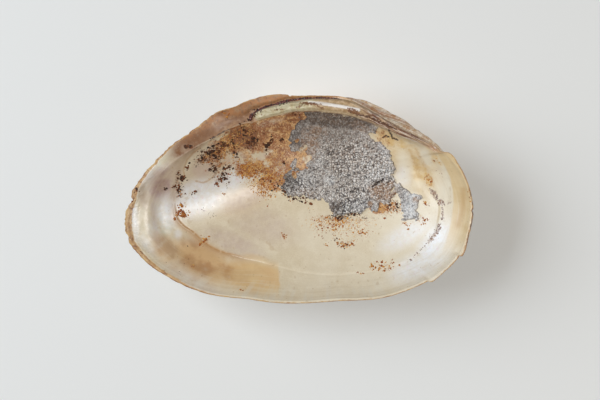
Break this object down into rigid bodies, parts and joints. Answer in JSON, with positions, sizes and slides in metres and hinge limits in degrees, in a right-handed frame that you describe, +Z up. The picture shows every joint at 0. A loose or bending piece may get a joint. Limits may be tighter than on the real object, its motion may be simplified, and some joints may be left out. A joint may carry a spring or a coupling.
{
  "type": "clam shell",
  "caption": "One valve of a freshwater clam lying hollow side up, with its hinge tooth, dried ligament and a gritty grey crust in the pearly bowl.",
  "frame": {"origin": "middle of the footprint's box, on the surface that the valve rests on", "axes": "+X towards the rounded front end, +Y towards the hinge, +Z up out of the hollow"},
  "size_m": [0.09, 0.054, 0.0198],
  "materials": {
    "shell": "glossy cream mother-of-pearl inside with orange-brown stains, dull brown skin outside",
    "crust": "matt, gritty, mid grey with white and black grains",
    "ligament": "dried, dark red-brown, crumbling"
  },
  "bodies": {
    "root": {"valve": "shell", "grey_crust": "crust", "ligament_remnant": "ligament"}
  },
  "joints": []
}
